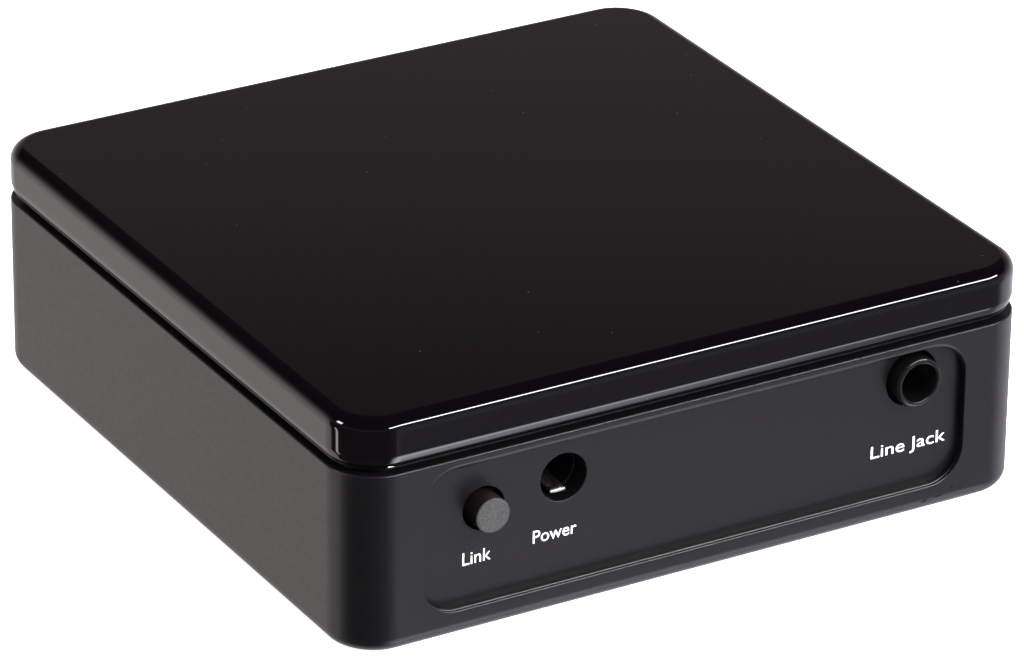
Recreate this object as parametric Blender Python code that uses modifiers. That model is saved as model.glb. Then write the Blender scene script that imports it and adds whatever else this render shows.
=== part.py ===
"""A small square desktop audio receiver, modelled as its separate pieces.

Units are metres and +Z is up. The port panel faces -Y, and +X is to the right of someone
who looks at it. The origin is at the bottom centre, on the surface that the rubber feet
stand on. The casing's heights are measured from the underside of the lower housing, which
is the height of case_datum, and those of the electronics from the top of the circuit
board, which is the height of board_datum.
"""

import math

import bmesh
import bpy

MM = 0.001

# Casing
CASE_SIDE = 73.0 * MM
CASE_HALF = CASE_SIDE / 2
CASE_HEIGHT = 23.63 * MM
FOOT_STAND = 0.8 * MM
HOUSING_TOP = 18.23 * MM
LID_LIP = 18.71 * MM
HOUSING_CORNER = 4.9 * MM
HOUSING_BOTTOM_ROUND = 1.6 * MM
HOUSING_TOP_CHAMFER = 0.3 * MM
LID_CORNER = 5.05 * MM
LID_TOP_ROUND = 1.4 * MM
LID_LIP_ROUND = 0.9 * MM
SIDE_WALL = 2.3 * MM
PORT_WALL = 2.78 * MM
FLOOR = 2.0 * MM
TONGUE_INSET = 1.25 * MM
TONGUE_TOP = 20.6 * MM
LID_RIM_WALL = 0.95 * MM
LID_RIM_TOP = 20.9 * MM
LID_INNER_WALL = 2.6 * MM
LID_CEILING = CASE_HEIGHT - 2.0 * MM

# Port panel, sunk in the -Y face
PANEL_DEPTH = 0.9 * MM
PANEL_Y = -CASE_HALF + PANEL_DEPTH
PANEL_HALF_WIDTH = 29.14 * MM
PANEL_LOW = 2.72 * MM
PANEL_HIGH = 17.1 * MM
PANEL_CORNER = 3.6 * MM
PORT_WALL_INNER_Y = -CASE_HALF + PORT_WALL

# Ports, as (x, height above the underside of the housing)
BUTTON_AT = (-22.42 * MM, 12.11 * MM)
DC_AT = (-14.06 * MM, 13.37 * MM)
JACK_AT = (23.68 * MM, 14.26 * MM)
BUTTON_HOLE_R = 2.125 * MM
DC_HOLE_R = 2.4 * MM
JACK_NOSE_R = 2.5 * MM
JACK_BORE_R = 1.8 * MM
JACK_NOSE_OUT = 1.38 * MM
DC_BORE_R = 2.3 * MM

# Status light in the +Y face
LIGHT_HEIGHT = 9.3 * MM
LIGHT_PIPE_R = 1.0 * MM

# Fasteners and feet
CORNER_AT = 30.2 * MM
BOSS_R = 2.9 * MM
BOSS_TOP = 12.0 * MM
POST_R = 2.6 * MM
POST_GAP = 0.3 * MM
SCREW_HOLE_R = 1.3 * MM
HEAD_POCKET_R = 2.3 * MM
HEAD_POCKET_TOP = 2.6 * MM
FOOT_R = 3.6 * MM
FOOT_POCKET_DEPTH = 0.7 * MM
FOOT_HEIGHT = 1.2 * MM

# Circuit board and what is screwed to it
BOARD_TOP = 8.0 * MM
BOARD_THICK = 1.6 * MM
BOARD_HALF_WIDTH = 26.6 * MM
BOARD_FRONT_Y = -32.8 * MM
BOARD_REAR_Y = 27.4 * MM
BOARD_SCREWS_AT = ((-22.5 * MM, 22.0 * MM), (22.5 * MM, 22.0 * MM), (5.0 * MM, -27.5 * MM))
STANDOFF_R = 2.4 * MM
PILOT_R = 1.15 * MM

GAP = 0.3 * MM
PAST = 1.0 * MM
ROUND_STEPS = 24
FINE_STEPS = 32

TO_PORTS = (math.radians(90), 0, 0)
TO_REAR = (math.radians(-90), 0, 0)
TO_GROUND = (math.radians(180), 0, 0)
UPRIGHT = (0, 0, 0)

FINISHES = {
    "gloss_black": ((0.012, 0.011, 0.013), 0.06, 0.0),
    "satin_black": ((0.045, 0.043, 0.047), 0.5, 0.0),
    "grained_black": ((0.06, 0.06, 0.065), 0.7, 0.0),
    "jack_black": ((0.012, 0.012, 0.013), 0.2, 0.0),
    "foot_rubber": ((0.02, 0.02, 0.02), 0.85, 0.0),
    "screw_steel": ((0.55, 0.55, 0.56), 0.35, 1.0),
    "spring_metal": ((0.75, 0.73, 0.69), 0.25, 1.0),
    "brass_pin": ((0.8, 0.62, 0.3), 0.25, 1.0),
    "clear_plastic": ((0.8, 0.85, 0.9), 0.1, 0.0),
    "label_film": ((0.3, 0.3, 0.31), 0.45, 0.0),
    "board_green": ((0.01, 0.12, 0.05), 0.35, 0.0),
    "chip_black": ((0.015, 0.015, 0.017), 0.5, 0.0),
    "can_metal": ((0.7, 0.7, 0.72), 0.3, 1.0),
    "ceramic_beige": ((0.55, 0.45, 0.32), 0.5, 0.0),
    "led_body": ((0.85, 0.85, 0.8), 0.3, 0.0),
}


# ---------------------------------------------------------------- scene and placing


def clear_scene():
    for obj in list(bpy.data.objects):
        bpy.data.objects.remove(obj)


def new_collection(name, hidden=False):
    made = bpy.data.collections.new(name)
    made.hide_render = hidden
    bpy.context.scene.collection.children.link(made)
    return made


def new_datum(name, height, parent=None):
    datum = bpy.data.objects.new(name, None)
    datum.empty_display_size = 5 * MM
    datum.location = (0, 0, height)
    datum.parent = parent
    PIECES.objects.link(datum)
    return datum


def finish(name):
    """The material of this finish, made the first time that it is asked for."""
    made = bpy.data.materials.get(name)
    if made is None:
        colour, roughness, metallic = FINISHES[name]
        made = bpy.data.materials.new(name)
        made.use_nodes = True
        shader = made.node_tree.nodes["Principled BSDF"]
        shader.inputs["Base Color"].default_value = (*colour, 1.0)
        shader.inputs["Roughness"].default_value = roughness
        shader.inputs["Metallic"].default_value = metallic
        made.diffuse_color = (*colour, 1.0)
    return made


def to_mesh(bm, name):
    mesh = bpy.data.meshes.new(name)
    bm.to_mesh(mesh)
    bm.free()
    mesh.shade_smooth()
    mesh.set_sharp_from_angle(angle=math.radians(35))
    return mesh


def piece(name, data, look, parent, at=(0, 0, 0), turn=UPRIGHT):
    """A real piece of the product, made from a mesh or a curve."""
    if not data.materials:
        data.materials.append(finish(look))
    obj = bpy.data.objects.new(name, data)
    obj.location = at
    obj.rotation_euler = turn
    obj.parent = parent
    PIECES.objects.link(obj)
    return obj


def tool(name, data, parent, at=(0, 0, 0), turn=UPRIGHT):
    """A shape that is only cut from a piece or added to one."""
    obj = bpy.data.objects.new(name, data)
    obj.location = at
    obj.rotation_euler = turn
    obj.parent = parent
    obj.hide_render = True
    obj.display_type = "WIRE"
    CUTTERS.objects.link(obj)
    return obj


def combine(target, operation, *others):
    for other in others:
        boolean = target.modifiers.new(other.name, "BOOLEAN")
        boolean.operation = operation
        boolean.solver = "EXACT"
        boolean.object = other


def cut(target, *others):
    combine(target, "DIFFERENCE", *others)


def join(target, *others):
    combine(target, "UNION", *others)


# ---------------------------------------------------------------- basic shapes


def round_edges(bm, edges, radius, steps):
    if radius > 0:
        bmesh.ops.bevel(
            bm, geom=edges, offset=radius, offset_type="OFFSET", segments=steps, profile=0.5, affect="EDGES"
        )


def rim_edges(bm, side):
    """The edges round the top face (side 1) or the bottom face (side -1)."""
    level = max(side * v.co.z for v in bm.verts)
    return [e for e in bm.edges if all(abs(side * v.co.z - level) < 1e-7 for v in e.verts)]


def block(size, middle=(0, 0, 0), corner=0.0, top=0.0, bottom=0.0, corner_steps=6, edge_steps=3):
    """A box whose upright edges, top rim and bottom rim can each be rounded."""
    bm = bmesh.new()
    bmesh.ops.create_cube(bm, size=1.0)
    bmesh.ops.scale(bm, vec=size, verts=bm.verts)
    upright = [e for e in bm.edges if abs(e.verts[0].co.z - e.verts[1].co.z) > size[2] / 2]
    round_edges(bm, upright, corner, corner_steps)
    round_edges(bm, rim_edges(bm, 1), top, edge_steps)
    round_edges(bm, rim_edges(bm, -1), bottom, edge_steps)
    bmesh.ops.translate(bm, vec=middle, verts=bm.verts)
    return bm


def block_between(low, high, **rounding):
    size = [b - a for a, b in zip(low, high)]
    middle = [(a + b) / 2 for a, b in zip(low, high)]
    return block(size, middle, **rounding)


def rod(radius, low, high, steps=ROUND_STEPS):
    """An upright cylinder between two heights."""
    bm = bmesh.new()
    bmesh.ops.create_cone(
        bm, cap_ends=True, segments=steps, radius1=radius, radius2=radius, depth=high - low
    )
    bmesh.ops.translate(bm, vec=(0, 0, (low + high) / 2), verts=bm.verts)
    return bm


def outline_mesh(name, outline):
    """Edges through (radius, height) points in the XZ plane, to be turned about Z."""
    bm = bmesh.new()
    verts = [bm.verts.new((radius, 0, height)) for radius, height in outline]
    for a, b in zip(verts, verts[1:]):
        bm.edges.new((a, b))
    return to_mesh(bm, name)


def turn_outline(obj, steps=ROUND_STEPS):
    """Turns the object's outline, which runs from its top down its outer side."""
    screw = obj.modifiers.new("turned", "SCREW")
    screw.axis = "Z"
    screw.angle = math.tau
    screw.steps = steps
    screw.render_steps = steps
    screw.use_merge_vertices = True
    screw.merge_threshold = 1e-6
    screw.use_smooth_shade = True
    return obj


def turned_piece(name, outline, look, parent, at=(0, 0, 0), turn=UPRIGHT, steps=ROUND_STEPS):
    return turn_outline(piece(name, outline_mesh(name, outline), look, parent, at, turn), steps)


def turned_tool(name, outline, parent, at=(0, 0, 0), turn=UPRIGHT, steps=ROUND_STEPS):
    return turn_outline(tool(name, outline_mesh(name, outline), parent, at, turn), steps)


def block_tool(name, low, high, parent, at=(0, 0, 0), turn=UPRIGHT, **rounding):
    return tool(name, to_mesh(block_between(low, high, **rounding), name), parent, at, turn)


def rod_tool(name, radius, low, high, parent, at=(0, 0, 0), turn=UPRIGHT, steps=ROUND_STEPS):
    return tool(name, to_mesh(rod(radius, low, high, steps), name), parent, at, turn)


def strip(name, route, width, thickness, look, parent, at=(0, 0, 0), across="Y"):
    """A bent metal strip: a route in the plane square to `across`, given width and thickness."""
    bm = bmesh.new()
    sides = []
    for offset in (-width / 2, width / 2):
        if across == "Y":
            sides.append([bm.verts.new((a, offset, b)) for a, b in route])
        elif across == "X":
            sides.append([bm.verts.new((offset, a, b)) for a, b in route])
        else:
            sides.append([bm.verts.new((a, b, offset)) for a, b in route])
    for i in range(len(route) - 1):
        bm.faces.new((sides[0][i], sides[0][i + 1], sides[1][i + 1], sides[1][i]))
    obj = piece(name, to_mesh(bm, name), look, parent, at)
    solid = obj.modifiers.new("thickness", "SOLIDIFY")
    solid.thickness = thickness
    solid.offset = 0
    return obj


def mm_points(points):
    return [(a * MM, b * MM) for a, b in points]


# ---------------------------------------------------------------- casing


def corner_places():
    return [(x * CORNER_AT, y * CORNER_AT) for y in (-1, 1) for x in (-1, 1)]


def square_block(inset, low, high, radius, **rounding):
    """A block centred in plan, its sides `inset` in from the case's."""
    half = CASE_HALF - inset
    return block_between((-half, -half, low), (half, half, high), corner=radius, **rounding)


def square_tool(name, inset, low, high, radius):
    return tool(name, to_mesh(square_block(inset, low, high, radius), name), CASE)


def make_lower_housing():
    body = square_block(0, 0, HOUSING_TOP, HOUSING_CORNER, bottom=HOUSING_BOTTOM_ROUND)
    round_edges(body, rim_edges(body, 1), HOUSING_TOP_CHAMFER, 1)
    housing = piece("lower_housing", to_mesh(body, "lower_housing"), "satin_black", CASE)
    tongue_low = HOUSING_TOP - 3 * MM
    tongue_corner = HOUSING_CORNER - TONGUE_INSET
    join(housing, square_tool("housing_tongue", TONGUE_INSET, tongue_low, TONGUE_TOP, tongue_corner))
    inner = CASE_HALF - SIDE_WALL
    cavity = block_tool(
        "housing_cavity",
        (-inner, PORT_WALL_INNER_Y, FLOOR),
        (inner, inner, TONGUE_TOP + PAST),
        CASE,
        corner=HOUSING_CORNER - SIDE_WALL,
    )
    cut(housing, cavity)
    add_housing_bosses(housing)
    cut_port_panel(housing)
    cut_underside(housing)
    return housing


def add_housing_bosses(housing):
    root = FLOOR / 2
    for i, (x, y) in enumerate(corner_places(), 1):
        join(housing, rod_tool(f"boss_{i}", BOSS_R, root, BOSS_TOP, CASE, (x, y, 0)))
    standoff_top = BOARD_TOP - BOARD_THICK - GAP
    for i, (x, y) in enumerate(BOARD_SCREWS_AT, 1):
        join(housing, rod_tool(f"standoff_{i}", STANDOFF_R, root, standoff_top, CASE, (x, y, 0)))
    for i, (x, y) in enumerate(BOARD_SCREWS_AT, 1):
        cut(housing, rod_tool(f"pilot_{i}", PILOT_R, FLOOR, standoff_top + PAST, CASE, (x, y, 0)))


def cut_port_panel(housing):
    height = (PANEL_HIGH - PANEL_LOW) / 2
    recess = block_tool(
        "panel_recess",
        (-PANEL_HALF_WIDTH, -height, 0),
        (PANEL_HALF_WIDTH, height, PANEL_DEPTH + PAST),
        CASE,
        at=(0, PANEL_Y, (PANEL_HIGH + PANEL_LOW) / 2),
        turn=TO_PORTS,
        corner=PANEL_CORNER,
    )
    cut(housing, recess)
    holes = (
        ("button_hole", BUTTON_AT, BUTTON_HOLE_R),
        ("dc_hole", DC_AT, DC_HOLE_R),
        ("jack_hole", JACK_AT, JACK_NOSE_R + GAP),
    )
    for name, (x, z), radius in holes:
        depth = PORT_WALL
        cut(housing, rod_tool(name, radius, -depth, PAST, CASE, (x, PANEL_Y, z), TO_PORTS, FINE_STEPS))
    light = rod_tool(
        "light_hole", LIGHT_PIPE_R + GAP, -2 * SIDE_WALL, PAST, CASE, (0, CASE_HALF, LIGHT_HEIGHT), TO_REAR
    )
    cut(housing, light)


def cut_underside(housing):
    """Pockets for the feet, with the screw heads above them, and the label's shallow bed."""
    outline = (
        (0, BOSS_TOP + PAST),
        (SCREW_HOLE_R, BOSS_TOP + PAST),
        (SCREW_HOLE_R, HEAD_POCKET_TOP),
        (HEAD_POCKET_R, HEAD_POCKET_TOP),
        (HEAD_POCKET_R, FOOT_POCKET_DEPTH),
        (FOOT_R + GAP, FOOT_POCKET_DEPTH),
        (FOOT_R + GAP, -PAST),
        (0, -PAST),
    )
    for i, (x, y) in enumerate(corner_places(), 1):
        cut(housing, turned_tool(f"foot_pocket_{i}", outline, CASE, (x, y, 0)))
    half_x = LABEL_SIZE[0] / 2 + GAP
    half_y = LABEL_SIZE[1] / 2 + GAP
    bed = block_tool(
        "label_bed", (-half_x, -half_y, -PAST), (half_x, half_y, LABEL_SIZE[2] + GAP), CASE, corner=1.5 * MM
    )
    cut(housing, bed)


def make_top_cover():
    body = square_block(
        0, LID_LIP, CASE_HEIGHT, LID_CORNER, top=LID_TOP_ROUND, bottom=LID_LIP_ROUND, edge_steps=4
    )
    cover = piece("top_cover", to_mesh(body, "top_cover"), "gloss_black", CASE)
    rim = square_tool("cover_rim", LID_RIM_WALL, LID_LIP - PAST, LID_RIM_TOP, LID_CORNER - LID_RIM_WALL)
    hollow = square_tool(
        "cover_hollow", LID_INNER_WALL, LID_LIP, LID_CEILING, LID_CORNER - LID_INNER_WALL
    )
    cut(cover, rim, hollow)
    post_low = BOSS_TOP + POST_GAP
    for i, (x, y) in enumerate(corner_places(), 1):
        post = rod_tool(f"cover_post_{i}", POST_R, post_low, LID_CEILING + PAST, CASE, (x, y, 0))
        join(cover, post)
    for i, (x, y) in enumerate(corner_places(), 1):
        hole = rod_tool(
            f"cover_pilot_{i}", SCREW_HOLE_R, post_low - PAST, post_low + 6.5 * MM, CASE, (x, y, 0)
        )
        cut(cover, hole)
    return cover


def make_feet():
    top = FOOT_POCKET_DEPTH - GAP
    round_off = 0.3 * MM
    outline = (
        (0, top),
        (FOOT_R, top),
        (FOOT_R, top - FOOT_HEIGHT + round_off),
        (FOOT_R - round_off, top - FOOT_HEIGHT),
        (0, top - FOOT_HEIGHT),
    )
    mesh = outline_mesh("rubber_foot", outline)
    for i, (x, y) in enumerate(corner_places(), 1):
        turn_outline(piece(f"rubber_foot_{i}", mesh, "foot_rubber", CASE, (x, y, 0)))


def screw_outline(head_r, head_height, shank_r, length):
    """A pan-head screw with its head's top at height 0 and its shank below."""
    tip = 0.5 * MM
    return (
        (0, 0),
        (0.7 * head_r, 0),
        (head_r, -0.45 * head_height),
        (head_r, -head_height),
        (shank_r, -head_height),
        (shank_r, -length + tip),
        (0.4 * shank_r, -length),
        (0, -length),
    )


def screw(name, mesh, head_r, parent, at, turn):
    """One screw with a cross recess in its head."""
    made = turn_outline(piece(name, mesh, "screw_steel", parent, at, turn))
    arm, slot, deep = 0.6 * head_r, 0.14 * head_r, 0.6 * MM
    for label, half in (("a", (arm, slot)), ("b", (slot, arm))):
        low = (-half[0], -half[1], -deep)
        high = (half[0], half[1], PAST)
        cut(made, block_tool(f"{name}_cross_{label}", low, high, parent, at, turn))
    return made


def make_housing_screws():
    head_r, head_height = 2.0 * MM, 1.4 * MM
    head_low = HEAD_POCKET_TOP - GAP - head_height
    mesh = outline_mesh("housing_screw", screw_outline(head_r, head_height, SCREW_HOLE_R - GAP, 16.5 * MM))
    for i, (x, y) in enumerate(corner_places(), 1):
        screw(f"housing_screw_{i}", mesh, head_r, CASE, (x, y, head_low), TO_GROUND)


def make_light_pipe():
    flange_r, flange = 1.9 * MM, 0.9 * MM
    flange_out = -SIDE_WALL - GAP
    outline = (
        (0, -0.05 * MM),
        (LIGHT_PIPE_R, -0.05 * MM),
        (LIGHT_PIPE_R, flange_out),
        (flange_r, flange_out),
        (flange_r, flange_out - flange),
        (LIGHT_PIPE_R, flange_out - flange),
        (LIGHT_PIPE_R, -8.6 * MM),
        (0, -8.6 * MM),
    )
    at = (0, CASE_HALF, LIGHT_HEIGHT)
    turned_piece("status_light_pipe", outline, "clear_plastic", CASE, at, TO_REAR)


LABEL_SIZE = (44.0 * MM, 22.0 * MM, 0.2 * MM)


def make_label():
    bm = block(LABEL_SIZE, (0, 0, LABEL_SIZE[2] / 2), corner=1.2 * MM, corner_steps=4)
    piece("rating_label", to_mesh(bm, "rating_label"), "label_film", CASE)


# ---------------------------------------------------------------- circuit board


def make_board():
    low = (-BOARD_HALF_WIDTH, BOARD_FRONT_Y, -BOARD_THICK)
    high = (BOARD_HALF_WIDTH, BOARD_REAR_Y, 0)
    bm = block_between(low, high, corner=1.0 * MM, corner_steps=3)
    board = piece("circuit_board", to_mesh(bm, "circuit_board"), "board_green", BOARD)
    head_r = 1.9 * MM
    mesh = outline_mesh("board_screw", screw_outline(head_r, 1.2 * MM, PILOT_R - GAP, 6.3 * MM))
    for i, (x, y) in enumerate(BOARD_SCREWS_AT, 1):
        cut(board, rod_tool(f"board_hole_{i}", 1.4 * MM, -3 * MM, PAST, BOARD, (x, y, 0)))
        screw(f"board_screw_{i}", mesh, head_r, BOARD, (x, y, GAP + 1.2 * MM), UPRIGHT)


def on_board(name, size, x, y, look, height=GAP, **rounding):
    """A block-shaped component, its size and place in millimetres, standing on the board."""
    sx, sy, sz = (s * MM for s in size)
    bm = block((sx, sy, sz), (0, 0, sz / 2), **rounding)
    return piece(name, to_mesh(bm, name), look, BOARD, (x * MM, y * MM, height))


def make_radio():
    x, y = -9.0, 13.0
    on_board("bluetooth_module", (13.0, 22.0, 0.8), x, y, "board_green")
    on_module = GAP + 0.8 * MM + GAP
    shield = on_board(
        "module_shield", (11.4, 14.4, 1.8), x, y - 3.2, "can_metal", on_module, corner=0.5 * MM, corner_steps=3
    )
    inside = (5.5 * MM, 7.0 * MM)
    hollow = block_tool(
        "shield_hollow",
        (-inside[0], -inside[1], -PAST),
        (inside[0], inside[1], 1.6 * MM),
        BOARD,
        (x * MM, (y - 3.2) * MM, on_module),
    )
    cut(shield, hollow)
    on_board("chip_antenna", (7.0, 2.2, 1.2), x, y + 8.6, "ceramic_beige", on_module)


def make_chips():
    dac = on_board("audio_dac_chip", (7.0, 7.0, 0.95), 14.0, -6.0, "chip_black", top=0.1 * MM, edge_steps=1)
    dot = rod_tool("dac_dot", 0.45 * MM, -0.1 * MM, PAST, BOARD, (11.4 * MM, -3.4 * MM, GAP + 0.95 * MM))
    cut(dac, dot)
    make_regulator()
    on_board("crystal_oscillator", (10.2, 3.8, 3.4), 3.0, 4.0, "can_metal", corner=1.8 * MM, top=0.5 * MM)
    on_board("power_inductor", (5.2, 5.2, 2.8), -5.5, -13.0, "chip_black", corner=1.2 * MM, top=0.3 * MM)
    for i in range(4):
        on_board(f"chip_capacitor_{i + 1}", (1.6, 3.2, 1.1), 8.0 + 4.0 * i, -14.5, "ceramic_beige")
    light_y = BOARD_REAR_Y / MM - 1.2
    on_board("status_led", (3.0, 1.6, 1.9), 0.0, light_y, "led_body", top=0.2 * MM, edge_steps=1)


def make_regulator():
    """A power regulator with its wide tab on one side and three leads on the other."""
    x, y = -14.0, -15.0
    regulator = on_board("voltage_regulator", (6.5, 3.5, 1.6), x, y, "chip_black", top=0.1 * MM, edge_steps=1)
    at = (x * MM, y * MM, GAP)
    tab = block_tool(
        "regulator_tab", (-1.5 * MM, 1.5 * MM, 0), (1.5 * MM, 3.4 * MM, 0.5 * MM), BOARD, at
    )
    join(regulator, tab)
    for i in (-1, 0, 1):
        low = ((2.3 * i - 0.4) * MM, -3.4 * MM, 0)
        high = ((2.3 * i + 0.4) * MM, -1.5 * MM, 0.4 * MM)
        join(regulator, block_tool(f"regulator_lead_{i + 2}", low, high, BOARD, at))


def make_capacitors():
    """Aluminium cans, each crimped near its foot and standing on a square base."""
    r, height = 2.5 * MM, 5.4 * MM
    outline = (
        (0, height),
        (r - 0.35 * MM, height),
        (r, height - 0.35 * MM),
        (r, 1.9 * MM),
        (r - 0.3 * MM, 1.6 * MM),
        (r, 1.3 * MM),
        (r, 0.4 * MM),
        (0, 0.4 * MM),
    )
    mesh = outline_mesh("electrolytic_capacitor", outline)
    places = ((20.5, 10.5), (14.0, 10.5), (-20.5, -14.0))
    for i, (x, y) in enumerate(places, 1):
        at = (x * MM, y * MM, GAP)
        can = turn_outline(piece(f"electrolytic_capacitor_{i}", mesh, "can_metal", BOARD, at))
        half = 2.65 * MM
        low, high = (-half, -half, 0), (half, half, 0.8 * MM)
        join(can, block_tool(f"capacitor_base_{i}", low, high, BOARD, at, corner=0.4 * MM, corner_steps=1))


# ---------------------------------------------------------------- audio jack

JACK_FRONT_Y = PORT_WALL_INNER_Y + GAP
JACK_HEIGHT = JACK_AT[1] - BOARD_TOP
JACK_BODY_HALF = 3.0 * MM
JACK_BODY_LENGTH = 11.0 * MM


def make_audio_jack():
    """The body with its round nose and bore, and the three contacts that press on a plug."""
    x = JACK_AT[0]
    top = JACK_HEIGHT + 3.1 * MM
    bm = block_between(
        (-JACK_BODY_HALF, 0, GAP), (JACK_BODY_HALF, JACK_BODY_LENGTH, top), corner=0.3 * MM, corner_steps=2
    )
    body = piece("audio_jack_body", to_mesh(bm, "audio_jack_body"), "jack_black", BOARD, (x, JACK_FRONT_Y, 0))
    tip_y = PANEL_Y - JACK_NOSE_OUT
    nose_length = JACK_FRONT_Y - tip_y
    chamfer = 0.15 * MM
    nose = turned_tool(
        "jack_nose",
        (
            (0, 0),
            (JACK_NOSE_R - chamfer, 0),
            (JACK_NOSE_R, -chamfer),
            (JACK_NOSE_R, -nose_length - PAST),
            (0, -nose_length - PAST),
        ),
        BOARD,
        (x, tip_y, JACK_HEIGHT),
        TO_PORTS,
        FINE_STEPS,
    )
    join(body, nose)
    mouth = 0.2 * MM
    bore = turned_tool(
        "jack_bore",
        (
            (0, mouth),
            (JACK_BORE_R + 2 * mouth, mouth),
            (JACK_BORE_R, -mouth),
            (JACK_BORE_R, -12.6 * MM),
            (0, -12.6 * MM),
        ),
        BOARD,
        (x, tip_y, JACK_HEIGHT),
        TO_PORTS,
        FINE_STEPS,
    )
    cut(body, bore)
    add_jack_contacts(body, x)


def add_jack_contacts(body, x):
    """A side spring for the tip and one for the ring, and a sleeve contact under the bore."""
    at_y = {"tip": JACK_FRONT_Y + 7.2 * MM, "ring": JACK_FRONT_Y + 3.6 * MM}
    spring = mm_points(((-2.6, 0.5), (-2.6, 7.3), (-2.35, 7.75), (-2.0, 7.3), (-1.6, 6.05), (-1.95, 5.0)))
    for name, side in (("tip", 1), ("ring", -1)):
        y = at_y[name]
        route = [(side * a, b) for a, b in spring]
        ends = sorted((side * -3.6 * MM, side * -1.4 * MM))
        slot = block_tool(
            f"jack_{name}_slot",
            (ends[0], -1.3 * MM, 0),
            (ends[1], 1.3 * MM, 8.3 * MM),
            BOARD,
            (x, y, 0),
        )
        cut(body, slot)
        strip(f"jack_{name}_spring", route, 1.9 * MM, 0.2 * MM, "spring_metal", BOARD, (x, y, 0))
    slot_low = (-1.25 * MM, 0.55 * MM, 0)
    slot_high = (1.25 * MM, 2.3 * MM, JACK_HEIGHT)
    cut(body, block_tool("jack_sleeve_slot", slot_low, slot_high, BOARD, (x, JACK_FRONT_Y, 0)))
    route = mm_points(((1.0, 0.5), (1.0, 3.9), (1.25, 4.6), (1.7, 4.2)))
    strip(
        "jack_sleeve_contact", route, 1.8 * MM, 0.2 * MM, "spring_metal", BOARD, (x, JACK_FRONT_Y, 0), "X"
    )


# ---------------------------------------------------------------- power jack

DC_HEIGHT = DC_AT[1] - BOARD_TOP


def make_dc_jack():
    """The body with its bore, the centre pin and the spring that meets the plug's sleeve."""
    x = DC_AT[0]
    length = 10.4 * MM
    half = 3.7 * MM
    bore_end = length - 1.6 * MM
    bm = block_between((-half, 0, GAP), (half, length, 9.0 * MM), corner=0.3 * MM, corner_steps=2)
    body = piece("dc_jack_body", to_mesh(bm, "dc_jack_body"), "jack_black", BOARD, (x, JACK_FRONT_Y, 0))
    at = (x, JACK_FRONT_Y, DC_HEIGHT)
    cut(body, rod_tool("dc_bore", DC_BORE_R, -bore_end, PAST, BOARD, at, TO_PORTS, FINE_STEPS))
    slot = block_tool(
        "dc_spring_slot", (-1.1 * MM, -PAST, 0), (1.1 * MM, bore_end, DC_HEIGHT), BOARD, (x, JACK_FRONT_Y, 0)
    )
    cut(body, slot)
    pin_r = 0.65 * MM
    cut(body, rod_tool("dc_pin_hole", pin_r + GAP, -length - PAST, -bore_end + PAST, BOARD, at, TO_PORTS))
    make_dc_pin(at, pin_r, 2.4 * MM, length)
    route = mm_points(
        ((-0.9, 3.5), (0.1, 3.45), (1.6, 3.6), (3.2, 3.75), (5.2, 3.35), (7.4, 2.7), (8.2, 2.3), (8.35, 0.5))
    )
    strip("dc_sleeve_spring", route, 1.6 * MM, 0.2 * MM, "spring_metal", BOARD, (x, JACK_FRONT_Y, 0), "X")


def make_dc_pin(at, radius, tip, length):
    """A round pin along the bore, bent down to the board behind the body."""
    back = length + 1.3 * MM
    bend = 0.5 * MM
    route = ((0, tip, 0), (0, back - bend, 0), (0, back, -bend), (0, back, GAP + radius - DC_HEIGHT))
    curve = bpy.data.curves.new("dc_centre_pin", "CURVE")
    curve.dimensions = "3D"
    curve.bevel_depth = radius
    curve.bevel_resolution = 3
    curve.use_fill_caps = True
    spline = curve.splines.new("POLY")
    spline.points.add(len(route) - 1)
    for point, place in zip(spline.points, route):
        point.co = (*place, 1)
    piece("dc_centre_pin", curve, "brass_pin", BOARD, at)


# ---------------------------------------------------------------- pairing switch

SWITCH_HEIGHT = BUTTON_AT[1] - BOARD_TOP
SWITCH_HALF = 3.0 * MM
SWITCH_FRONT_Y = -32.3 * MM
WELL_R = 2.3 * MM
WELL_DEPTH = 1.6 * MM
PLUNGER_R = 1.725 * MM
BUTTON_OUT = 1.84 * MM


def make_pair_switch():
    """A side-facing push switch whose long plunger is the button that shows."""
    x = BUTTON_AT[0]
    low = (-SWITCH_HALF, 0, GAP)
    high = (SWITCH_HALF, 2.5 * MM, SWITCH_HEIGHT + SWITCH_HALF)
    bm = block_between(low, high, corner=0.2 * MM, corner_steps=1)
    front = (x, SWITCH_FRONT_Y, 0)
    body = piece("pair_switch_body", to_mesh(bm, "pair_switch_body"), "chip_black", BOARD, front)
    axis_at = (x, SWITCH_FRONT_Y, SWITCH_HEIGHT)
    cut(body, rod_tool("switch_well", WELL_R, -WELL_DEPTH, PAST, BOARD, axis_at, TO_PORTS))
    make_switch_frame(x, axis_at)
    make_switch_dome(axis_at)
    for i, side in enumerate((-1, 1), 1):
        at = (x + side * 2.2 * MM, SWITCH_FRONT_Y + 3.0 * MM, 0)
        strip(f"pair_switch_terminal_{i}", mm_points(((0, 3.4), (0, 0.5))), 0.8 * MM, 0.3 * MM,
              "spring_metal", BOARD, at, "X")
    make_pair_button(x)


def make_switch_frame(x, axis_at):
    """A metal cover bent round the switch, with the hole that the plunger slides in."""
    side = SWITCH_HALF + GAP + 0.15 * MM
    face = -0.45 * MM
    route = ((-side, 2.7 * MM), (-side, face), (side, face), (side, 2.7 * MM))
    width = 2 * SWITCH_HALF
    frame = strip(
        "pair_switch_frame", route, width, 0.3 * MM, "can_metal", BOARD,
        (x, SWITCH_FRONT_Y, SWITCH_HEIGHT), "Z",
    )
    hole = rod_tool("frame_hole", PLUNGER_R + GAP, -PAST, PAST, BOARD, axis_at, TO_PORTS)
    cut(frame, hole)


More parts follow.
